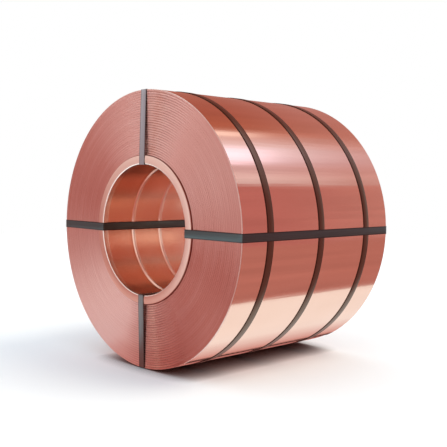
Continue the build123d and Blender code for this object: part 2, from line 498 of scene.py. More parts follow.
# %% eye bands
EYE_EDGE_ROUND = 0.0004
eye_section = rounded_section(STRAP_WIDTH, STRAP_GAP, STRAP_GAP + EYE_THICKNESS, EYE_EDGE_ROUND)
eye_bands = []
for name, degrees in EYE_ANGLES.items():
    points, base = eye_points(np.radians(degrees), eye_section[:, 0], eye_section[:, 1])
    faces = sweep_faces(len(points), len(eye_section), True)
    band = make_piece("eye_strap_" + name, points, faces,
                      "eye_band_" + name, SHEET_SHARP)
    lengths = np.concatenate([[0], np.cumsum(np.linalg.norm(np.diff(base, axis=0), axis=1))])
    add_uv(band, "lengths", lengths[:, None], eye_section[:, 0])
    eye_bands.append(band)

# %% [markdown]
# ## Seals
# A seal is a sheet steel sleeve, folded over both edges of the strap and bitten by a crimping
# tool. Here it is a C-shaped section carried along the strap, and the bites are places where
# its lips draw in and its back is dented.

# %% section and bites of a seal
SEAL_LENGTH = 0.048
SEAL_SHEET = 0.001
SEAL_LIP = 0.002
CRIMP_WIDTH = 0.006
CRIMP_DEPTH = 0.001
DENT_SHARE = 0.4            # of the sheet's thickness
SEAL_BACK_STEPS, SEAL_STATIONS = 8, 33


def seal_section(thickness):
    """The C: rounded outside over the strap, then back along the inside, clear of the strap."""
    edge = STRAP_WIDTH / 2 + SEAL_LIP
    inner = STRAP_WIDTH / 2 + STRAP_GAP
    ceiling = thickness + 2 * STRAP_GAP
    bend = np.radians(np.linspace(0, 90, BEND_STEPS))
    shoulder = np.stack([edge - SEAL_SHEET + SEAL_SHEET * np.cos(bend),
                         ceiling + SEAL_SHEET * np.sin(bend)], 1)
    right = np.concatenate([[(edge, STRAP_GAP)], shoulder])
    across_back = np.linspace(edge - 2 * SEAL_SHEET, SEAL_SHEET - edge, SEAL_BACK_STEPS)[:-1]
    back_line = np.stack([across_back, np.full_like(across_back, ceiling + SEAL_SHEET)], 1)
    outside = np.concatenate([right, back_line, right[::-1] * (-1, 1)])
    inside_line = [(-inner, STRAP_GAP), (-inner, ceiling), (inner, ceiling), (inner, STRAP_GAP)]
    return np.concatenate([outside, inside_line]), len(outside)


def bitten(thickness, along):
    """Lips draw in and the back dents at two cosine humps, a quarter length from the middle."""
    section, outer_count = seal_section(thickness)
    distance = np.abs(np.abs(along) - SEAL_LENGTH / 4)
    bite = (1 + np.cos(np.pi * np.clip(distance / CRIMP_WIDTH, 0, 1))) / 2
    outer = np.arange(len(section)) < outer_count
    on_lip = outer & (np.abs(section[:, 0]) > STRAP_WIDTH / 2)
    on_back = outer & (section[:, 1] > section[:, 1].max() - SEAL_SHEET / 2)
    across = section[:, 0] - np.sign(section[:, 0]) * on_lip * bite[:, None] * CRIMP_DEPTH
    height = section[:, 1] - on_back * bite[:, None] * SEAL_SHEET * DENT_SHARE
    return across, height


seal_along = np.linspace(-SEAL_LENGTH / 2, SEAL_LENGTH / 2, SEAL_STATIONS)
seal_faces = sweep_faces(SEAL_STATIONS, len(seal_section(BELLY_THICKNESS)[0]), False)
print("faces of a seal:", len(seal_faces))

# %% belly seals
BELLY_SEAL_ANGLE = np.radians(152.0)
seals = []
seal_across, seal_height = bitten(BELLY_THICKNESS, seal_along)
seal_way = BELLY_SEAL_ANGLE - TAIL_ANGLE + seal_along / COIL_RADIUS
for name, place in BELLY_PLACES.items():
    points = along_band(seal_way, seal_across, seal_height, (place - 0.5) * STRIP_WIDTH)
    seals.append(make_piece("belly_clip_" + name, points, seal_faces,
                            "belly_seal_" + name, SHEET_SHARP))

# %% eye seals
EYE_SEAL_PLACE = 0.45       # from the rim to the collar, as a share of the way
seal_across, seal_height = bitten(EYE_THICKNESS, seal_along)
for name, degrees in EYE_ANGLES.items():
    angle_there = np.radians(degrees)
    start = np.array([HALF_WIDTH, rim_height(angle_there)])
    run = np.array([COLLAR_END, COLLAR_EDGE]) - start
    along_y, along_height = run / np.linalg.norm(run)
    middle_y, middle_height = start + run * EYE_SEAL_PLACE
    seal_y = middle_y + seal_along[:, None] * along_y - seal_height * along_height
    lifted = middle_height + seal_along[:, None] * along_height + seal_height * along_y
    points = flat_at(angle_there, seal_across, seal_y, lifted)
    seals.append(make_piece("eye_clip_" + name, points, seal_faces,
                            "eye_seal_" + name, SHEET_SHARP))
print("seals:", len(seals))

# %% [markdown]
# ## Helpers for finishes
# Colours are written as they look on a screen, as sRGB hex values, and one function turns
# them to the linear numbers that light is counted in. Another adds a node: a plain value
# goes into a socket, the output of another node is linked to it, and a whole node stands
# for its first output.

# %% material helpers
NOISE_LOW, NOISE_HIGH = 0.3, 0.7        # nearly all of a noise lies between these


def linear(colour):
    """sRGB hex to linear: over 12.92 near black, else the 2.4 power of its shifted value."""
    srgb = np.array([int(colour[i:i + 2], 16) for i in (1, 3, 5)]) / 255
    value = np.where(srgb <= 0.04045, srgb / 12.92, ((srgb + 0.055) / 1.055) ** 2.4)
    return (*value.tolist(), 1.0)


def add_node(material, kind, inputs=None, **settings):
    """Adds a node with its settings, and sets or links its inputs; a node gives its first output."""
    node = material.node_tree.nodes.new("ShaderNode" + kind)
    for name, value in settings.items():
        setattr(node, name, value)
    for key, value in (inputs or {}).items():
        if isinstance(value, bpy.types.Node):
            value = value.outputs[0]
        if isinstance(value, bpy.types.NodeSocket):
            material.node_tree.links.new(value, node.inputs[key])
        else:
            node.inputs[key].default_value = value
    return node


def new_material(name):
    """An empty material to fill with nodes."""
    material = bpy.data.materials.new(name)
    material.use_nodes = True
    material.node_tree.nodes.clear()
    return material


print("middle grey in linear light:", linear("#808080"))

# %% [markdown]
# ## Round coordinates
# Everything on a coil follows the circle: rolling lines run round it, turns lie across it.
# So the patterns are drawn in three measures of the coil's own, the radius, the angle round
# it and the place along the axis, which are worked out from the plain Object coordinates.

# %% round coordinates for the patterns
def coil_coordinates(material):
    """Outputs of radius, angle about the axis, y and outward vector, from Object coordinates."""
    place = add_node(material, "TexCoord").outputs["Object"]
    moved = add_node(material, "Mapping", {"Vector": place, "Location": (-AXIS_X, 0, -AXIS_Z)})
    split = add_node(material, "SeparateXYZ", {0: moved})
    x, y, z = (split.outputs[i] for i in range(3))
    flat = add_node(material, "CombineXYZ", {"X": x, "Z": z})
    radius = add_node(material, "VectorMath", {0: flat}, operation="LENGTH")
    angle = add_node(material, "Math", {0: z, 1: x}, operation="ARCTAN2")
    return radius.outputs["Value"], angle.outputs[0], y, flat.outputs[0]


print("patterns turn about x", AXIS_X, "z", AXIS_Z)

# %% [markdown]
# ## Copper strip
# Bright rolled copper: a pure metal, pink in white light. The rolls leave the wide side
# smooth, with a slow waviness that breaks reflections into streaks. Its tint changes in
# clouds a third of a metre long.

# %% wide side of the strip
ROLLED_LIGHT = linear("#FAD9C7")
ROLLED_DEEP = linear("#F4CDB9")
CLOUD_SCALE = 3.0

copper = new_material("rolled copper strip")
radius, angle, y, outward = coil_coordinates(copper)
unrolled = add_node(copper, "CombineXYZ", {"X": angle, "Y": y})
cloud = add_node(copper, "TexNoise", {"Vector": unrolled, "Scale": CLOUD_SCALE, "Detail": 3.0})
wide = add_node(copper, "Mix", {0: cloud, 6: ROLLED_LIGHT, 7: ROLLED_DEEP}, data_type="RGBA")
print("wide side from", ROLLED_LIGHT, "to", ROLLED_DEEP)

# %% [markdown]
# ## Ends of the coil
# The slit edges that make the ends are duller and rosier. Their fine grooves run round the
# axis and throw the light of the room back most to two opposite quarters, and least to the
# two between. That is finer than a mesh can hold, so it is painted into the colour: a painted
# sheen and painted shade that follow the angle, as the cosine of twice the angle, made a
# little uneven from ring to ring.

# %% painted sheen and shade of the ends
EDGE_PAINTED_SHEEN = linear("#F6CFC7")
EDGE_PAINTED_SHADE = linear("#D38E83")
BRIGHT_QUARTER = np.radians(60.0)
RING_WIDTH = 0.012          # four turns, as single ones are too fine to show
RING_UNEVEN = 0.22

ring_place = add_node(copper, "Math", {0: radius, 1: 1 / RING_WIDTH}, operation="MULTIPLY")
ring_turn = add_node(copper, "CombineXYZ", {"X": ring_place, "Y": angle})
rings = add_node(copper, "TexNoise", {"Vector": ring_turn, "Scale": 1.0, "Detail": 4.0})
ring_share = add_node(copper, "MapRange", {0: rings, 1: NOISE_LOW, 2: NOISE_HIGH,
                                           3: -RING_UNEVEN, 4: RING_UNEVEN})
# painted sheen at two opposite quarters of the ends, painted shade at the two between
twice_angle = add_node(copper, "Math", {0: angle, 1: 2.0, 2: -2 * BRIGHT_QUARTER},
                       operation="MULTIPLY_ADD")
quarter_wave = add_node(copper, "Math", {0: twice_angle}, operation="COSINE")
quarter_sum = add_node(copper, "Math", {0: quarter_wave, 1: ring_share}, operation="ADD")
painted_shade_share = add_node(copper, "MapRange", {0: quarter_sum, 1: 1.0, 2: -1.0})
edges_with_painted_sheen = add_node(copper, "Mix", {0: painted_shade_share, 6: EDGE_PAINTED_SHEEN, 7: EDGE_PAINTED_SHADE},
                       data_type="RGBA")
print("ends from", EDGE_PAINTED_SHEEN, "to", EDGE_PAINTED_SHADE)

# %% where the painted shade of the ring lines shows
GAP_SHADE_SHARE = 0.8

half_turn = add_node(copper, "Math", {0: angle}, operation="ABSOLUTE")
from_sector = add_node(copper, "Math", {0: half_turn, 1: np.radians(RING_SECTOR)},
                       operation="SUBTRACT")
off_sector = add_node(copper, "Math", {0: from_sector}, operation="ABSOLUTE")
sector = add_node(copper, "MapRange", {0: off_sector, 1: np.radians(RING_SECTOR_HALF),
                                       2: 0.0, 3: 0.0, 4: GAP_SHADE_SHARE})
print("lines show", RING_SECTOR_HALF, "degrees to each side of", RING_SECTOR)

# %% [markdown]
# ## Ring lines of painted shade
# In the two sectors where the edges lean most, the gaps between the rings get painted shade. Each
# line is the crest of a sine of the radius, as far apart as the rings of the mesh, and a
# noise moves it in and out by up to two millimetres, so that it wanders as a real turn does.

# %% ring lines of painted shade
PAINTED_GAP_SHADE = linear("#9C564A")
LINE_WANDER = 0.004
WANDER_SCALE = 14.0
LINE_FROM = -0.2            # value of the sine at which a line begins

wander_place = add_node(copper, "CombineXYZ", {"X": angle, "Y": ring_place})
wander = add_node(copper, "TexNoise", {"Vector": wander_place, "Scale": WANDER_SCALE,
                                       "Detail": 1.0})
line_place = add_node(copper, "Math", {0: wander, 1: LINE_WANDER, 2: radius},
                      operation="MULTIPLY_ADD")
waves_per_metre = 2 * np.pi / (TURNS_IN_RING * STRIP_THICKNESS)
line_turn = add_node(copper, "Math", {0: line_place, 1: waves_per_metre}, operation="MULTIPLY")
line_wave = add_node(copper, "Math", {0: line_turn}, operation="SINE")
gap_shade_wave = add_node(copper, "MapRange", {0: line_wave, 1: LINE_FROM, 2: 1.0})
# painted shade in the gaps between the rings, only inside the two sectors
gap_shade_mix = add_node(copper, "Math", {0: gap_shade_wave, 1: sector}, operation="MULTIPLY")
edges_with_gap_shade = add_node(copper, "Mix", {0: gap_shade_mix, 6: edges_with_painted_sheen.outputs[2],
                                       7: PAINTED_GAP_SHADE}, data_type="RGBA")
print("lines", TURNS_IN_RING * STRIP_THICKNESS, "m apart")

# %% painted highlight on the rim, and where the ends begin
PAINTED_RIM_HIGHLIGHT = linear("#FFF2EA")
RIM_HIGHLIGHT_SHARE = 0.85
RIM_FROM, RIM_FULL = 0.0045, 0.0025     # inwards from the coil's radius
FACE_MARGIN = 0.0016        # deeper than any turn stands back

# a painted highlight along the coil's rim, a few millimetres wide
rim_highlight_share = add_node(copper, "MapRange", {0: radius, 1: COIL_RADIUS - RIM_FROM,
                                          2: COIL_RADIUS - RIM_FULL, 3: 0.0, 4: RIM_HIGHLIGHT_SHARE})
edges = add_node(copper, "Mix", {0: rim_highlight_share, 6: edges_with_gap_shade.outputs[2], 7: PAINTED_RIM_HIGHLIGHT},
                 data_type="RGBA")
half_way = add_node(copper, "Math", {0: y}, operation="ABSOLUTE")
on_end = add_node(copper, "Math", {0: half_way, 1: HALF_WIDTH - FACE_MARGIN},
                  operation="GREATER_THAN")
colour = add_node(copper, "Mix", {0: on_end, 6: wide.outputs[2], 7: edges.outputs[2]},
                  data_type="RGBA")
print("the ends begin at y", HALF_WIDTH - FACE_MARGIN)

# %% [markdown]
# ## Gloss of the strip
# Rolling lines run round the barrel and slitting lines round the ends. A line spreads the
# gloss square to itself, so the gloss is drawn out along the axis on the barrel, and from the
# bore outwards on the ends. The waviness is bump on the wide side alone: its streaks are a
# ninth of a radian wide and run along the axis.

# %% gloss of the strip
ROLLED_ROUGHNESS, EDGE_ROUGHNESS = 0.12, 0.42
GLOSS_SPREAD = 0.8
ALONG_AXIS = (0.0, 1.0, 0.0)
STREAK_SCALE = (9.0, 0.7, 1.0)
STREAK_HEIGHT = 0.0012
STREAK_STRENGTH = 0.8

gloss = add_node(copper, "MapRange", {0: on_end, 3: ROLLED_ROUGHNESS, 4: EDGE_ROUGHNESS})
spread = add_node(copper, "Mix", {0: on_end, 4: ALONG_AXIS, 5: outward}, data_type="VECTOR")
streak_place = add_node(copper, "VectorMath", {0: unrolled, 1: STREAK_SCALE}, operation="MULTIPLY")
streaks = add_node(copper, "TexNoise", {"Vector": streak_place, "Scale": 1.0, "Detail": 3.0})
barrel_streaks = add_node(copper, "Math", {0: streaks, 1: on_end},
                          operation="SUBTRACT", use_clamp=True)
waves = add_node(copper, "Bump", {"Height": barrel_streaks, "Distance": STREAK_HEIGHT,
                                  "Strength": STREAK_STRENGTH})
rolled_metal = add_node(copper, "BsdfPrincipled", {
    "Base Color": colour.outputs[2], "Metallic": 1.0, "Roughness": gloss,
    "Normal": waves, "Anisotropic": GLOSS_SPREAD, "Tangent": spread.outputs[1]})
add_node(copper, "OutputMaterial", {0: rolled_metal})
copper_coil.data.materials.append(copper)
print("finish:", copper.name)

# %% [markdown]
# ## Turned sleeve
# The sleeve is copper too, cut on a lathe. In the bore the light bounces from wall to wall,
# so that the colour deepens by itself at each bounce. The collar is duller, and its tint
# follows the angle too, once round instead of twice: a painted highlight at the upper right
# and painted shade opposite. Painted shade marks its outer edge as a dark line, and the
# bore's lip and the crests of the beads get a painted highlight.

# %% parts of the sleeve's surface
# Each pair is where a part begins and where it is full, in metres.
LIP_FROM, LIP_FULL = 0.0025, 0.0045         # outwards from the bore's radius, past the mouth's lip
WALL_FROM, WALL_FULL = 0.003, 0.001         # inwards from the sleeve's radius
CREST_FROM, CREST_FULL = 0.0015, 0.0005     # outwards from the bore's radius
MOUTH_FROM, MOUTH_FULL = 0.005, 0.003       # inwards from the collar's end

turned_copper = new_material("turned copper")
tube_radius, tube_angle, tube_y = coil_coordinates(turned_copper)[:3]
from_middle = add_node(turned_copper, "Math", {0: tube_y}, operation="ABSOLUTE")
near_end = add_node(turned_copper, "Math", {0: from_middle, 1: COLLAR_END - MOUTH_LAND / 2},
                    operation="GREATER_THAN")
past_lip = add_node(turned_copper, "MapRange", {0: tube_radius, 1: BORE_RADIUS + LIP_FROM,
                                                2: BORE_RADIUS + LIP_FULL})
on_collar = add_node(turned_copper, "Math", {0: near_end, 1: past_lip}, operation="MULTIPLY")
wall_shade_share = add_node(turned_copper, "MapRange", {0: tube_radius, 1: SLEEVE_RADIUS - WALL_FROM,
                                               2: SLEEVE_RADIUS - WALL_FULL})
on_crest = add_node(turned_copper, "MapRange", {0: tube_radius, 1: BORE_RADIUS + CREST_FROM,
                                                2: BORE_RADIUS + CREST_FULL})
on_lip = add_node(turned_copper, "MapRange", {0: from_middle, 1: COLLAR_END - MOUTH_FROM,
                                              2: COLLAR_END - MOUTH_FULL})
# the crests of the beads and the bore's lip get a painted highlight
crest_and_lip_highlight = add_node(turned_copper, "Math", {0: on_crest, 1: on_lip}, operation="MAXIMUM")
print("the collar begins at y", COLLAR_END - MOUTH_LAND / 2)

# %% painted light and shade of the sleeve
COLLAR_PAINTED_HIGHLIGHT = linear("#FFE9DC")
COLLAR_PAINTED_SHADE = linear("#D89C8C")
COLLAR_WALL_SHADE = linear("#8E5246")
PAINTED_CREST_HIGHLIGHT = linear("#FFF6EE")
TURNED_DEEP = linear("#FACEB8")
BRIGHT_SIDE = np.radians(62.0)
SIDE_DARK, SIDE_BRIGHT = -0.8, 0.9      # cosines from the bright side at which the tints are full

side_angle = add_node(turned_copper, "Math", {0: tube_angle, 1: BRIGHT_SIDE}, operation="SUBTRACT")
side_wave = add_node(turned_copper, "Math", {0: side_angle}, operation="COSINE")
side_share = add_node(turned_copper, "MapRange", {0: side_wave, 1: SIDE_DARK, 2: SIDE_BRIGHT})
# painted highlight on the collar at the upper right, painted shade on the opposite side
collar_highlight_and_shade = add_node(turned_copper, "Mix", {0: side_share, 6: COLLAR_PAINTED_SHADE, 7: COLLAR_PAINTED_HIGHLIGHT},
                     data_type="RGBA")
# painted shade: a dark line on the collar's outer wall, where it meets the coil's end
collar_tint = add_node(turned_copper, "Mix", {0: wall_shade_share, 6: collar_highlight_and_shade.outputs[2],
                                              7: COLLAR_WALL_SHADE}, data_type="RGBA")
bore_tint = add_node(turned_copper, "Mix", {0: crest_and_lip_highlight, 6: TURNED_DEEP, 7: PAINTED_CREST_HIGHLIGHT},
                     data_type="RGBA")
sleeve_tint = add_node(turned_copper, "Mix", {0: on_collar, 6: bore_tint.outputs[2],
                                              7: collar_tint.outputs[2]}, data_type="RGBA")
print("brightest at", np.degrees(BRIGHT_SIDE), "degrees")

# %% turned copper
BORE_ROUGHNESS, COLLAR_ROUGHNESS = 0.25, 0.38
TOOL_PITCH = 0.004          # real tool marks are about 0.3 mm apart, too fine to show
TOOL_DEPTH = 0.00005

sleeve_gloss = add_node(turned_copper, "MapRange", {0: on_collar, 3: BORE_ROUGHNESS,
                                                    4: COLLAR_ROUGHNESS})
pass_place = add_node(turned_copper, "CombineXYZ", {"X": tube_y, "Y": tube_radius})
passes = add_node(turned_copper, "TexNoise", {"Vector": pass_place, "Scale": 1 / TOOL_PITCH,
                                              "Detail": 1.0})
tool_marks = add_node(turned_copper, "Bump", {"Height": passes, "Distance": TOOL_DEPTH})
turned_metal = add_node(turned_copper, "BsdfPrincipled", {
    "Base Color": sleeve_tint.outputs[2], "Metallic": 1.0, "Roughness": sleeve_gloss,
    "Normal": tool_marks})
add_node(turned_copper, "OutputMaterial", {0: turned_metal})
sleeve.data.materials.append(turned_copper)
print("finish:", turned_copper.name)

# %% [markdown]
# ## Steel strapping
# Strapping is cold rolled steel, blued or browned in a furnace: a dark oxide with a faint tint
# and fine lines along the strap, with painted shade along its slit edges. The band at the top
# and the one at the bottom are lighter copies of the same strapping, painted lighter for how
# the light falls on them.

# %% steel strapping
LINE_SPACING = 0.0016       # real rolling lines are a tenth of this, too fine to show
CLOUD_LENGTH = 0.12
LINE_STRETCH = (1 / CLOUD_LENGTH, 1 / LINE_SPACING, 1.0)
LINE_SCALE = 0.5
LINE_DEPTH = 0.00004
ROUGHNESS_RANGE = 0.06
PAINTED_EDGE_SHADE = linear("#3A2620")
EDGE_SHADE_WIDTH = 0.005
EDGE_SHADE_SHARE = 0.8


def strapping(name, light, dark, roughness):
    """Rolled strap: two tints mixed by noise drawn out along it, fine lines, and painted shade at the
    slit edges.
    """
    material = new_material(name)
    place = add_node(material, "UVMap", uv_map="lengths").outputs[0]
    stretch = add_node(material, "VectorMath", {0: place, 1: LINE_STRETCH}, operation="MULTIPLY")
    lines = add_node(material, "TexNoise", {"Vector": stretch, "Scale": LINE_SCALE, "Detail": 3.0})
    rolled = add_node(material, "Mix", {0: lines, 6: linear(light), 7: linear(dark)},
                      data_type="RGBA")
    across = add_node(material, "SeparateXYZ", {0: place}).outputs[1]
    off_centre = add_node(material, "Math", {0: across}, operation="ABSOLUTE")
    # painted shade along both slit edges of the strap
    edge = add_node(material, "MapRange", {0: off_centre, 1: STRAP_WIDTH / 2 - EDGE_SHADE_WIDTH,
                                           2: STRAP_WIDTH / 2, 3: 0.0, 4: EDGE_SHADE_SHARE})
    edge_shaded = add_node(material, "Mix", {0: edge, 6: rolled.outputs[2], 7: PAINTED_EDGE_SHADE},
                        data_type="RGBA")
    rough = add_node(material, "MapRange", {0: lines, 3: roughness - ROUGHNESS_RANGE,
                                            4: roughness + ROUGHNESS_RANGE})
    grain = add_node(material, "Bump", {"Height": lines, "Distance": LINE_DEPTH})
    metal = add_node(material, "BsdfPrincipled", {
        "Base Color": edge_shaded.outputs[2], "Metallic": 1.0, "Roughness": rough,
        "Normal": grain})
    add_node(material, "OutputMaterial", {0: metal})
    return material


blued_steel = strapping("blued steel strapping", "#66777A", "#4E5B5D", 0.34)
# lighter copies for the top and bottom bands: painted light for how the light falls on them
top_lit_steel = strapping("top strapping painted lighter", "#BCC4CC", "#9CA4AC", 0.34)
bottom_lit_steel = strapping("bottom strapping painted lighter", "#8E8C8C", "#706E6E", 0.34)
browned_steel = strapping("browned steel strapping", "#846E5E", "#625044", 0.32)
print("finishes:", blued_steel.name, top_lit_steel.name, bottom_lit_steel.name, browned_steel.name)

# %% [markdown]
# ## Galvanised seals
# The seals are stamped from galvanised sheet, which is lighter and duller than the straps.
# Its zinc freezes in flat crystals, the spangle, each a slightly different grey.

# %% galvanised steel
ZINC_LIGHT = linear("#A8ABAC")
ZINC_DARK = linear("#7C7F80")
ZINC_ROUGHNESS = 0.42
SPANGLE = 0.004             # crystals on thin sheet are about 1 mm, drawn larger to show
SPANGLE_REACH = 0.8

galvanised = new_material("galvanised steel seals")
zinc_place = add_node(galvanised, "TexCoord").outputs["Object"]
spangle = add_node(galvanised, "TexVoronoi", {"Vector": zinc_place, "Scale": 1 / SPANGLE})
crystal = add_node(galvanised, "MapRange", {0: spangle, 1: 0.0, 2: SPANGLE_REACH})
zinc = add_node(galvanised, "Mix", {0: crystal, 6: ZINC_LIGHT, 7: ZINC_DARK}, data_type="RGBA")
zinc_metal = add_node(galvanised, "BsdfPrincipled", {
    "Base Color": zinc.outputs[2], "Metallic": 1.0, "Roughness": ZINC_ROUGHNESS})
add_node(galvanised, "OutputMaterial", {0: zinc_metal})
print("finish:", galvanised.name)

# %% a finish for each strap and seal
right_band, top_band, left_band, bottom_band = eye_bands
finished = [([right_band, left_band], blued_steel), ([top_band], top_lit_steel),
            ([bottom_band], bottom_lit_steel), (belly_bands, browned_steel), (seals, galvanised)]
for pieces, finish in finished:
    for piece in pieces:
        piece.data.materials.append(finish)
    print(finish.name, "on", len(pieces), "pieces")

# %% [markdown]
# ## Floor
# The floor is white paper, and plain. Close to what stands on it the light can't get in, and
# the one soft lamp alone leaves that corner too pale. So the floor's own colour darkens
# within 80 mm of the coil, by as much of the room as the coil hides there.

# %% floor
FLOOR_SIZE = 14.0
CORNER_REACH = 0.08
CORNER_RAYS = 8
PAPER = linear("#FCFEFF")
half = FLOOR_SIZE / 2
floor_mesh = bpy.data.meshes.new("floor")
floor_mesh.from_pydata([(-half, -half, 0), (half, -half, 0), (half, half, 0), (-half, half, 0)], [],
                       [(0, 1, 2, 3)])
floor = bpy.data.objects.new("floor", floor_mesh)
bpy.context.scene.collection.objects.link(floor)
paper = new_material("white paper floor")
corner_shade = add_node(paper, "AmbientOcclusion", {"Color": PAPER, "Distance": CORNER_REACH},
                        samples=CORNER_RAYS)
matt = add_node(paper, "BsdfDiffuse", {"Color": corner_shade.outputs["Color"]})
add_node(paper, "OutputMaterial", {0: matt})
floor_mesh.materials.append(paper)
print("floor", FLOOR_SIZE, "m")

# %% [markdown]
# ## Cards for the metal to mirror
# Polished metal shows its surroundings more than its own colour, so a studio for metal is
# built from large cards. These are seen by reflections alone: they light nothing and throw
# no shadow, so that the floor and the air stay white.

# %% a card that only reflections see
CARD_DISTANCE = 2.6
CARD_LENGTH = 4.5
CARD_LIFT = 0.004


def glossy_only(name, points, faces, material):
    """A stage surface that only reflections see: no camera, no shadow, no plain light."""
    mesh = bpy.data.meshes.new(name)
    mesh.from_pydata(np.asarray(points).reshape(-1, 3).tolist(), [], faces)
    mesh.materials.append(material)
    card = bpy.data.objects.new(name, mesh)
    bpy.context.scene.collection.objects.link(card)
    card.visible_camera = False
    card.visible_diffuse = False
    card.visible_shadow = False
    card.visible_transmission = False
    return card


def bent_card(name, distance, degrees, sign, y_ends, material):
    """Card bent round the axis: a circle's x and z at the given angles, drawn between two y."""
    angle = np.radians(degrees)
    x, y_end = np.broadcast_arrays(distance * np.cos(angle) * sign, np.array(y_ends)[:, None])
    z = np.broadcast_to(AXIS_Z + distance * np.sin(angle), x.shape)
    faces = grid_faces(2, len(degrees)).tolist()
    return glossy_only(name, np.stack([x, y_end, z], -1), faces, material)


print("cards stand", CARD_DISTANCE, "m from the axis")

# %% [markdown]
# ## Arches
# A half tunnel stands over each half of the floor, one behind the coil and one before it. Its
# colour changes with the height angle, so a barrel seen from the side mirrors it as level
# bands: warm walls, a pale zone at 55 to 70 degrees and a warm ceiling. A noise makes the
# bands uneven, and each arch dims where it is farthest from the coil.

# %% colour of an arch
ARCH_FROM, ARCH_SPAN = -20, 220         # height angles that the colours reach over, in degrees
WARM_WALL = "#A26C66"
BEHIND_COLOURS = [(-20, "#A26664"), (34.5, "#A26664"), (36, "#CABBC0"), (42, "#CDBCC2"),
                  (47, "#BFA6AD"), (51, "#C4ACB6"), (55, "#D2C8DA"), (60, "#DAD6E8"),
                  (67, "#D6D2E0"), (73, "#CDB8BC"), (77, "#C3A4A2"), (82, "#B07A6C"),
                  (86, "#9C5C4A"), (108, "#96574A"), (200, "#A26A5E")]
BEFORE_COLOURS = [(-20, WARM_WALL), (1, WARM_WALL), (8, "#C6B2B0"), (30, "#DDD2D0"),
                  (75, "#DDDDDD"), (95, "#AC857C"), (120, WARM_WALL), (200, WARM_WALL)]
FAR_COLOUR = linear("#AD7C77")
FAR_SHARE = 0.7
FADE_START, FADE_END = 1.9, 3.2
WALL_STRENGTH = 1.4
WALL_DIM, WALL_BRIGHT = 0.86, 1.10
WALL_STRETCH = (60.0, 4.0, 1.0)


def arch_material(name, colours):
    """Glow that follows the height angle about the axis, dims along Y and is a little uneven."""
    material = new_material(name)
    place = add_node(material, "UVMap", uv_map="angle").outputs[0]
    split = add_node(material, "SeparateXYZ", {0: place})
    ramp = add_node(material, "ValToRGB", {0: split})
    stops = ramp.color_ramp.elements
    stops[0].color = linear(colours[0][1])
    stops[1].color = linear(colours[-1][1])
    for height_angle, shade in colours[1:-1]:
        stops.new((height_angle - ARCH_FROM) / ARCH_SPAN).color = linear(shade)
    fade = add_node(material, "MapRange", {0: split.outputs[1], 1: FADE_START / CARD_LENGTH,
                                           2: FADE_END / CARD_LENGTH, 3: 0.0, 4: FAR_SHARE})
    dim = add_node(material, "Mix", {0: fade, 6: ramp, 7: FAR_COLOUR}, data_type="RGBA")
    stretched = add_node(material, "VectorMath", {0: place, 1: WALL_STRETCH}, operation="MULTIPLY")
    uneven = add_node(material, "TexNoise", {"Vector": stretched, "Scale": 1.0, "Detail": 5.0})
    level = add_node(material, "MapRange", {0: uneven, 1: NOISE_LOW, 2: NOISE_HIGH,
                                            3: WALL_DIM * WALL_STRENGTH,
                                            4: WALL_BRIGHT * WALL_STRENGTH})
    glow = add_node(material, "Emission", {"Color": dim.outputs[2], "Strength": level})
    add_node(material, "OutputMaterial", {0: glow})
    return material


print("colours of the arches:", len(BEHIND_COLOURS), "and", len(BEFORE_COLOURS))

# %% the two arches
ARCH_STEPS = 97


def arch(name, side, colours):
    """Half tunnel over one half of the floor: a circle about the coil's axis, drawn along Y."""
    foot_angle = -np.degrees(np.arcsin((AXIS_Z - CARD_LIFT) / CARD_DISTANCE))
    degrees = np.linspace(foot_angle, 180 - foot_angle, ARCH_STEPS)
    card = bent_card(name, CARD_DISTANCE, degrees, side, (0, side * CARD_LENGTH),
                     arch_material(name, colours))
    add_uv(card, "angle", (degrees - ARCH_FROM) / ARCH_SPAN, np.array([[0.0], [1.0]]))


arch("cards_behind", 1, BEHIND_COLOURS)
arch("cards_before", -1, BEFORE_COLOURS)
print("arches", CARD_LENGTH, "m long")

# %% [markdown]
# ## Soft boxes
# Two lamps with cloth fronts give the brightest bands on the barrel. They hang just before
# the arch, and they are see-through at their edges, so that their glow has no hard border.

# %% soft boxes
BOX_INSET = 0.1
BOX_STEPS = 13


def soft_box(name, low_angle, high_angle, y_ends, colour, strength):
    """A curved light before the arch: one minus the square across it, times the same along it."""
    material = new_material(name)
    place = add_node(material, "UVMap", uv_map="panel").outputs[0]
    square = add_node(material, "VectorMath", {0: place, 1: place}, operation="MULTIPLY")
    share = add_node(material, "VectorMath", {0: (1.0, 1.0, 0.0), 1: square}, operation="SUBTRACT")
    split = add_node(material, "SeparateXYZ", {0: share})
    both = add_node(material, "Math", {0: split, 1: split.outputs[1]}, operation="MULTIPLY")
    glow = add_node(material, "Emission", {"Color": linear(colour), "Strength": strength})
    clear = add_node(material, "BsdfTransparent")
    mixed = add_node(material, "MixShader", {0: both, 1: clear, 2: glow})
    add_node(material, "OutputMaterial", {0: mixed})
    across = np.linspace(-1, 1, BOX_STEPS)
    degrees = (low_angle + high_angle) / 2 + across * (high_angle - low_angle) / 2
    card = bent_card(name, CARD_DISTANCE - BOX_INSET, degrees, 1, y_ends, material)
    add_uv(card, "panel", across, np.array([[-1.0], [1.0]]))


print("soft boxes hang", CARD_DISTANCE - BOX_INSET, "m from the axis")

# %% [markdown]
# ## Floor cards
# The underside of the barrel mirrors the floor. White paper all the way would leave it cream
# from edge to edge, but a real floor is white only where the light falls. So a few flat cards
# lie just over it: warm ones farther out and under the coil, a white one between them, and a
# dark seam, a painted shadow where the coil's own shadow begins, which it mirrors as a line
# beside the tail.

# %% floor cards
FLOOR_STRETCH = (9.0, 0.5, 1.0)


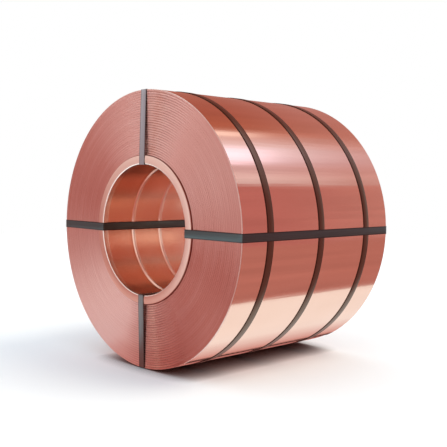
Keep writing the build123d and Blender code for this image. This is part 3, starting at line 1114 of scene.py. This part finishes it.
def floor_card(name, x_range, y_range, near_colour, far_colour, fade=0.01, streaks=0.12):
    """Flat card just over the floor, whose colour goes over from its first to its second along X."""
    material = new_material(name)
    place = add_node(material, "TexCoord").outputs["Object"]
    stretched = add_node(material, "VectorMath", {0: place, 1: FLOOR_STRETCH}, operation="MULTIPLY")
    uneven = add_node(material, "TexNoise", {"Vector": stretched, "Scale": 1.0, "Detail": 3.0})
    level = add_node(material, "MapRange", {0: uneven, 1: NOISE_LOW, 2: NOISE_HIGH,
                                            3: 1.0 - streaks, 4: 1.0 + streaks})
    x_there = add_node(material, "SeparateXYZ", {0: place}).outputs[0]
    share = add_node(material, "MapRange", {0: x_there, 1: x_range[0], 2: x_range[0] + fade})
    shade = add_node(material, "Mix", {0: share, 6: linear(near_colour), 7: linear(far_colour)},
                     data_type="RGBA")
    glow = add_node(material, "Emission", {"Color": shade.outputs[2], "Strength": level})
    add_node(material, "OutputMaterial", {0: glow})
    x = np.array(x_range)[[0, 1, 1, 0]]
    y_there = np.array(y_range)[[0, 0, 1, 1]]
    glossy_only(name, np.stack([x, y_there, np.full(4, CARD_LIFT)], 1), [(0, 1, 2, 3)], material)


print("floor cards lie", CARD_LIFT, "m up")

# %% set out the cards
WARM = "#BC7F78"
WARM_UNDER = "#C07A72"
SEAM_SHADOW = "#3A2422"
UNDER_FROM, SEAM_FROM, WHITE_FROM, WHITE_TO = -0.35, 0.17, 0.20, 0.64
BESIDE = (-CARD_LENGTH, CARD_LENGTH)
BEFORE = (-CARD_LENGTH, -0.75)
UNDER = (-0.75, 2.5)
BOX_ENDS = (1.0, 2.1)

floor_card("warm_floor_right", (WHITE_TO, CARD_DISTANCE), BESIDE, WARM, WARM)
floor_card("warm_floor_before", (UNDER_FROM, WHITE_TO), BEFORE, WARM, WARM)
floor_card("white_floor_right", (WHITE_FROM, WHITE_TO), UNDER, "#D6948A", "#FFFFFF", fade=0.14,
           streaks=0.03)
# painted shadow: a dark card where the coil's own shadow begins
floor_card("painted_shadow_seam", (SEAM_FROM, WHITE_FROM), UNDER, SEAM_SHADOW, SEAM_SHADOW, streaks=0.03)
floor_card("warm_floor_under", (UNDER_FROM, SEAM_FROM), UNDER, WARM_UNDER, WARM_UNDER, streaks=0.03)
soft_box("soft_box_high", 51, 67, BOX_ENDS, "#ECE4FF", 1.9)
soft_box("soft_box_slit", 76, 82, BOX_ENDS, "#F4E4E0", 1.5)
print("floor cards from x", UNDER_FROM, "to", CARD_DISTANCE, "and two soft boxes at y", BOX_ENDS)

# %% [markdown]
# ## Daylight and lamp
# The room gives plain light from all sides, a little cool. Where the camera, a reflection or
# glass sees it, it is exactly white. One large soft lamp, high at the right and behind, adds
# the warmth and lays the shadow to the left. It stays out of reflections, which the cards make.

# %% daylight
ROOM_COLOUR = (0.90, 0.96, 1.02, 1.0)
WHITE = (1, 1, 1, 1)

room = bpy.data.worlds.new("white room")
bpy.context.scene.world = room
room.use_nodes = True
room.node_tree.nodes.clear()
ray = add_node(room, "LightPath")
seen_or_mirrored = add_node(room, "Math", {0: ray.outputs["Is Camera Ray"],
                                           1: ray.outputs["Is Glossy Ray"]}, operation="MAXIMUM")
seen = add_node(room, "Math", {0: seen_or_mirrored, 1: ray.outputs["Is Transmission Ray"]},
                operation="MAXIMUM")
air = add_node(room, "Mix", {0: seen, 6: ROOM_COLOUR, 7: WHITE}, data_type="RGBA")
sky = add_node(room, "Background", {"Color": air.outputs[2], "Strength": 1.0})
add_node(room, "OutputWorld", {0: sky})
bpy.context.scene.view_settings.view_transform = "Standard"
print("room", ROOM_COLOUR)

# %% soft lamp
LAMP_TOWARDS = (0.50, 0.42, 0.85)
LAMP_SOFTNESS = 32.0
LAMP_STRENGTH = 1.1
LAMP_COLOUR = (1.0, 0.88, 0.70)

lamp = bpy.data.objects.new("soft lamp", bpy.data.lights.new("soft lamp", "SUN"))
bpy.context.scene.collection.objects.link(lamp)
lamp.data.energy = LAMP_STRENGTH
lamp.data.color = LAMP_COLOUR
lamp.data.angle = np.radians(LAMP_SOFTNESS)
lamp.rotation_euler = Vector(LAMP_TOWARDS).to_track_quat("Z", "Y").to_euler()
lamp.visible_glossy = False
print("lamp", LAMP_STRENGTH, "from", LAMP_TOWARDS)
